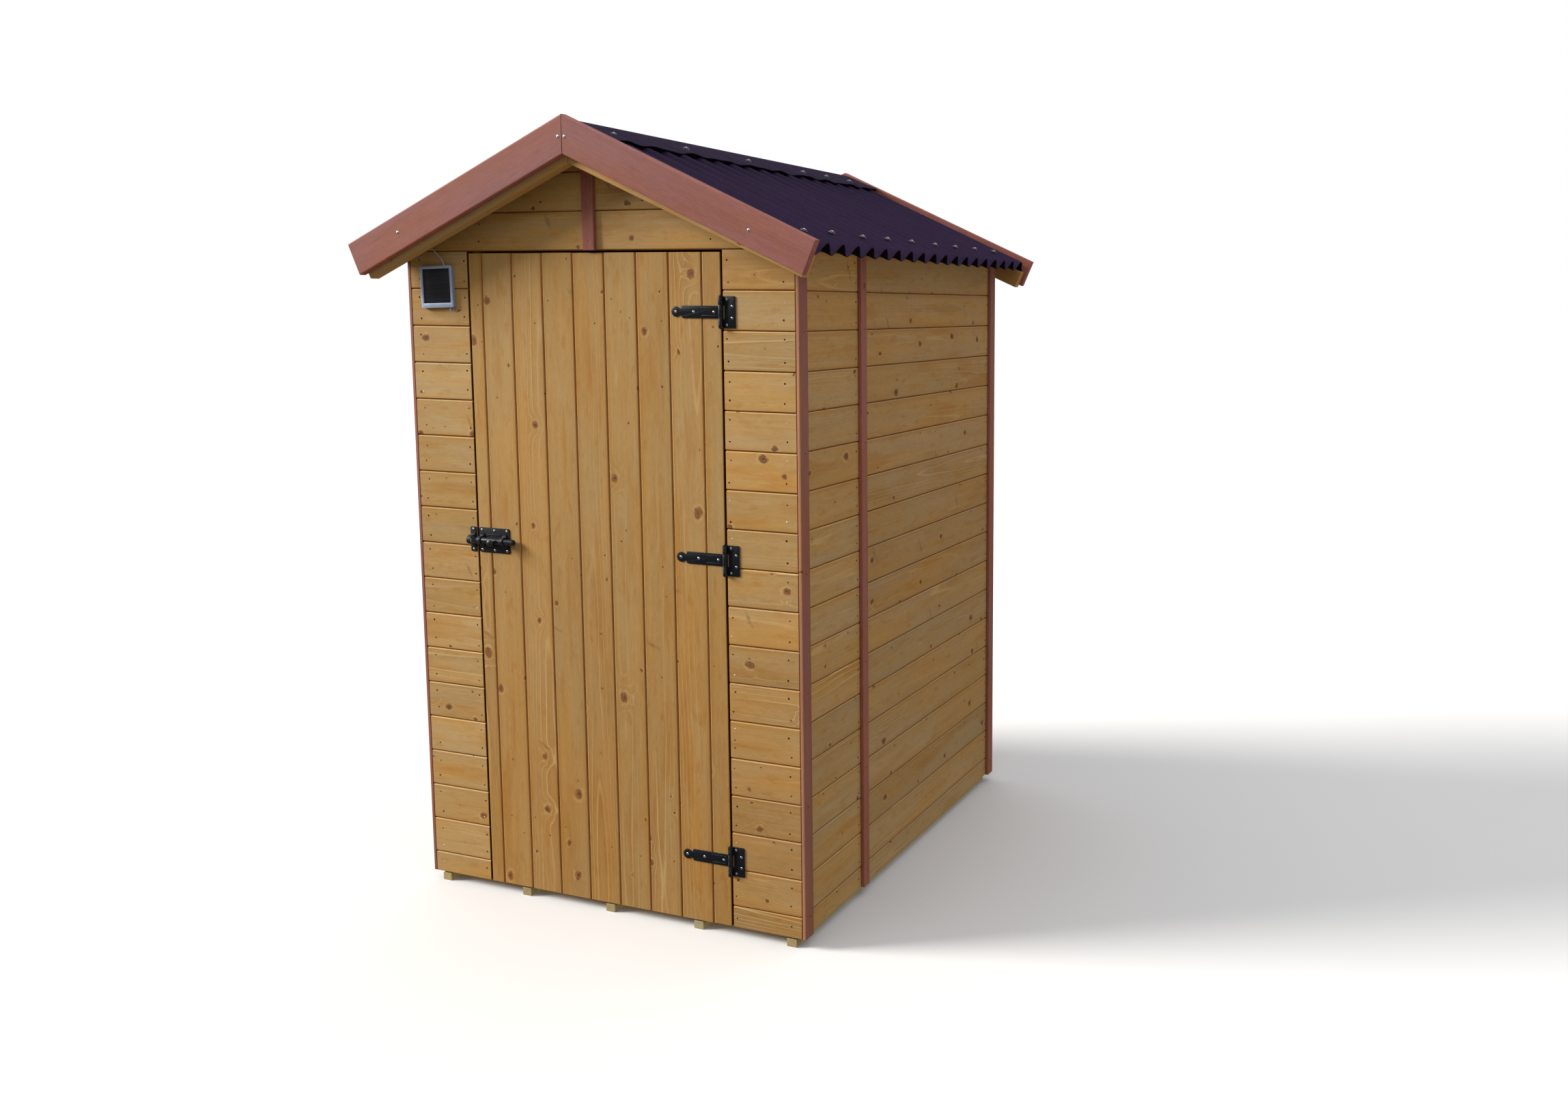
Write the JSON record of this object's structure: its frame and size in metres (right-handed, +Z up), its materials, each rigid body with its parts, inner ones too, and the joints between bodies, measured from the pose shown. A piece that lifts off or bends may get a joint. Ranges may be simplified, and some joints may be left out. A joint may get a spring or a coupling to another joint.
{
  "type": "wooden outhouse",
  "caption": "Small boarded wooden outhouse with a ledged plank door on strap hinges, a barrel bolt, brown trims and a corrugated bitumen gable roof.",
  "frame": {"origin": "on the ground, under the middle of the roof's outline", "axes": "+X to the right seen from the front, +Y from the front to the rear, +Z up"},
  "size_m": [1.355, 1.464, 2.03],
  "materials": {
    "wall_boards": "honey stained pine boards",
    "door_boards": "honey stained pine boards",
    "brown_trim": "reddish brown stained timber",
    "frame_timber": "planed pine",
    "treated_timber": "green pressure treated pine",
    "floor_boards": "planed pine boards",
    "roof_bitumen": "dark purple brown bitumen fibre sheet",
    "black_ironwork": "black coated pressed steel",
    "bolt_steel": "black coated steel rod",
    "panel_frame": "satin",
    "panel_cell": "glossy dark cell under a clear cover",
    "panel_lead": "matt"
  },
  "bodies": {
    "cabin": {"bearers": "treated_timber", "bearer_ends": "treated_timber", "floor_deck": "floor_boards", "corner_posts": "frame_timber", "joint_posts": "frame_timber", "door_posts": "frame_timber", "door_header": "frame_timber", "door_stop": "frame_timber", "top_plates": "frame_timber", "front_wall_left": "wall_boards", "front_wall_right": "wall_boards", "front_gable": "wall_boards", "side_wall_left_front": "wall_boards", "side_wall_left_rear": "wall_boards", "side_wall_right_front": "wall_boards", "side_wall_right_rear": "wall_boards", "rear_wall": "wall_boards", "rear_gable": "wall_boards", "corner_trim_front_left": "brown_trim", "corner_trim_front_right": "brown_trim", "corner_trim_rear_left": "brown_trim", "corner_trim_rear_right": "brown_trim", "side_trim_left": "brown_trim", "side_trim_right": "brown_trim", "gable_trim": "brown_trim", "ridge_beam": "frame_timber", "purlins": "frame_timber", "verge_rafter_front_left": "frame_timber", "verge_rafter_front_right": "frame_timber", "verge_rafter_rear_left": "frame_timber", "verge_rafter_rear_right": "frame_timber", "roof_sheet_left": "roof_bitumen", "roof_sheet_right": "roof_bitumen", "ridge_cap": "roof_bitumen", "barge_front_left": "brown_trim", "barge_front_right": "brown_trim", "barge_rear_left": "brown_trim", "barge_rear_right": "brown_trim", "hinge_leaves": "black_ironwork", "latch_keeper": "black_ironwork", "panel_frame": "panel_frame", "panel_cell": "panel_cell", "panel_lead": "panel_lead"},
    "door": {"door_leaf": "door_boards", "door_ledges": "door_boards", "hinge_straps": "black_ironwork", "latch_plate": "black_ironwork"},
    "bolt": {"latch_bolt": "bolt_steel"}
  },
  "joints": [
    {"name": "door_hinge", "type": "hinge", "parent": "cabin", "child": "door", "pos_m": [0.3715, -0.642, 0.963], "axis": [0, 0, 1], "range_deg": [0, 110]},
    {"name": "bolt_slide", "type": "slide", "parent": "door", "child": "bolt", "axis": [-1, 0, 0], "range_m": [0, 0.04]}
  ]
}
